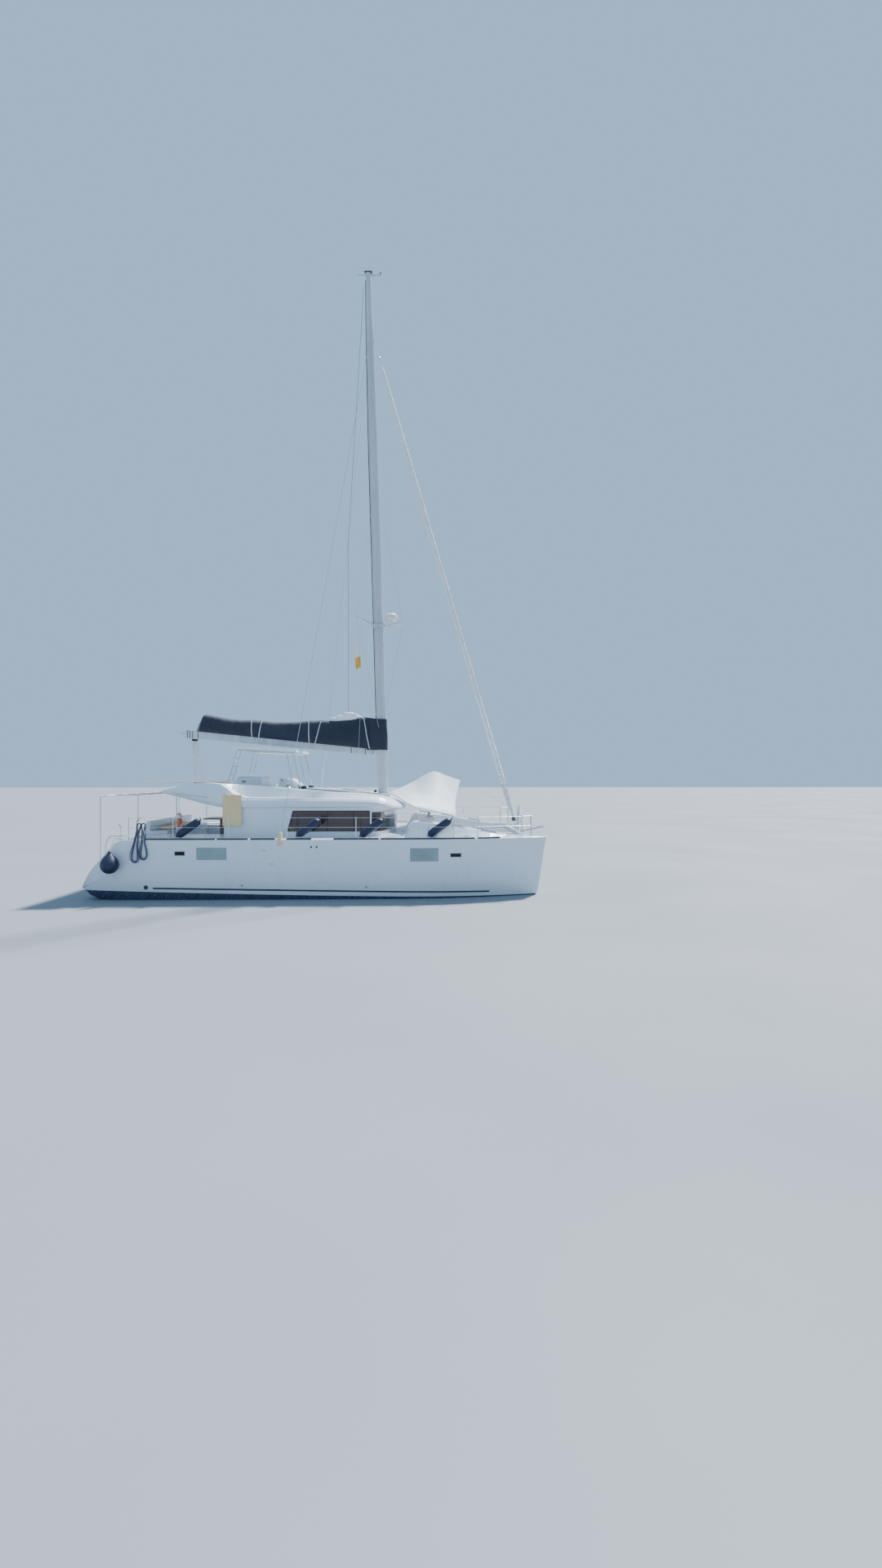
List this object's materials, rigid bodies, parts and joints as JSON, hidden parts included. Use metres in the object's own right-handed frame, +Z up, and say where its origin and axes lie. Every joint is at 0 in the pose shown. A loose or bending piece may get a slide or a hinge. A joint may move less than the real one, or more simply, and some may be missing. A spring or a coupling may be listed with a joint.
{
  "type": "sailing catamaran",
  "caption": "Cruising catamaran afloat with decked hulls, deckhouse, flybridge with hardtop, stowed mainsail on a swinging boom, furled headsail, rudders and propellers",
  "frame": {"origin": "amidships on the centreline at the waterline", "axes": "+X to the bow, +Y to port, +Z up"},
  "size_m": [14.0373, 8.1406, 22.3],
  "materials": {
    "gelcoat": "glossy white gelcoat, faintly blue in shade",
    "tinted_glass": "dark brown tinted acrylic",
    "stainless": "polished stainless tube and wire",
    "spar_alloy": "light grey anodised and painted spar section",
    "navy_canvas": "dark navy acrylic canvas",
    "white_cloth": "white sailcloth and awning cloth",
    "tan_cloth": "tan canvas curtain",
    "netting": "white knotted polyester net",
    "antifoul": "matte slate blue antifouling",
    "drive_alloy": "grey painted alloy",
    "bronze": "dull bronze",
    "engine_paint": "grey engine enamel",
    "fender_skin": "dark navy inflated vinyl",
    "dark_rope": "dark blue grey mooring rope",
    "buoy_orange": "orange foam lifebuoy cover",
    "teak": "oiled teak"
  },
  "bodies": {
    "platform": {"aft_bulkhead": "gelcoat", "awning_frame_port": "stainless", "awning_frame_starboard": "stainless", "ball_fender": "fender_skin", "bridgedeck": "gelcoat", "cockpit_table": "teak", "crossbeam": "spar_alloy", "deckhouse_front": "gelcoat", "deckhouse_side_port": "gelcoat", "deckhouse_side_starboard": "gelcoat", "engine_port": "engine_paint", "engine_starboard": "engine_paint", "fender_1": "fender_skin", "fender_2": "fender_skin", "fender_3": "fender_skin", "fender_4": "fender_skin", "foredeck_awning": "white_cloth", "front_glass": "tinted_glass", "gangplank": "teak", "gooseneck": "spar_alloy", "guardrail_port": "stainless", "guardrail_starboard": "stainless", "hardtop": "gelcoat", "hardtop_frame": "stainless", "headsail": "white_cloth", "helm_console": "gelcoat", "helm_seat": "gelcoat", "hull_port": "gelcoat", "hull_starboard": "gelcoat", "keel_port": "antifoul", "keel_starboard": "antifoul", "lifebuoy": "buoy_orange", "mast": "spar_alloy", "radar_dome": "gelcoat", "roof": "gelcoat", "roof_post_port": "stainless", "roof_post_starboard": "stainless", "rope_hank": "dark_rope", "saildrive_port": "drive_alloy", "saildrive_starboard": "drive_alloy", "shroud_port": "stainless", "shroud_starboard": "stainless", "side_curtain": "tan_cloth", "side_glass_port": "tinted_glass", "side_glass_starboard": "tinted_glass", "spreaders": "spar_alloy", "stern_awning": "white_cloth", "trampoline_port": "netting", "trampoline_starboard": "netting"},
    "propeller_starboard": {"propeller_starboard": "bronze"},
    "propeller_port": {"propeller_port": "bronze"},
    "rudder_starboard": {"rudder_starboard": "antifoul"},
    "rudder_port": {"rudder_port": "antifoul"},
    "helm_wheel": {"helm_wheel": "stainless"},
    "boom": {"boom": "spar_alloy", "sail_bag": "navy_canvas"},
    "saloon_door": {"saloon_door": "tinted_glass"},
    "engine_hatch_starboard": {"engine_hatch_starboard": "gelcoat"},
    "engine_hatch_port": {"engine_hatch_port": "gelcoat"}
  },
  "joints": [
    {"name": "propeller_starboard_spin", "type": "hinge", "parent": "platform", "child": "propeller_starboard", "pos_m": [-5.13, -2.95, -0.9], "axis": [1, 0, 0], "continuous": true},
    {"name": "propeller_port_spin", "type": "hinge", "parent": "platform", "child": "propeller_port", "pos_m": [-5.13, 2.95, -0.9], "axis": [1, 0, 0], "continuous": true},
    {"name": "rudder_starboard_turn", "type": "hinge", "parent": "platform", "child": "rudder_starboard", "pos_m": [-5.76, -2.95, -0.36], "axis": [0, 0, 1], "range_deg": [-35, 35]},
    {"name": "rudder_port_turn", "type": "hinge", "parent": "platform", "child": "rudder_port", "pos_m": [-5.76, 2.95, -0.36], "axis": [0, 0, 1], "range_deg": [-35, 35]},
    {"name": "helm_wheel_turn", "type": "hinge", "parent": "platform", "child": "helm_wheel", "pos_m": [-1.84, 0, 3.28], "axis": [1, 0, 0], "range_deg": [-420, 420]},
    {"name": "boom_swing", "type": "hinge", "parent": "platform", "child": "boom", "pos_m": [1.34, 0, 4.45], "axis": [0, 0, 1], "range_deg": [-45, 45]},
    {"name": "saloon_door_slide", "type": "slide", "parent": "platform", "child": "saloon_door", "axis": [0, -1, 0], "range_m": [0, 0.85]},
    {"name": "engine_hatch_starboard_lift", "type": "hinge", "parent": "platform", "child": "engine_hatch_starboard", "pos_m": [-5.44, -2.88, 1.7803], "axis": [0, -1, 0], "range_deg": [0, 85]},
    {"name": "engine_hatch_port_lift", "type": "hinge", "parent": "platform", "child": "engine_hatch_port", "pos_m": [-5.44, 2.88, 1.7803], "axis": [0, -1, 0], "range_deg": [0, 85]}
  ],
  "couplings": [
    {"joint": "rudder_port_turn", "follows": "rudder_starboard_turn", "ratio": 1},
    {"joint": "helm_wheel_turn", "follows": "rudder_starboard_turn", "ratio": 12}
  ]
}
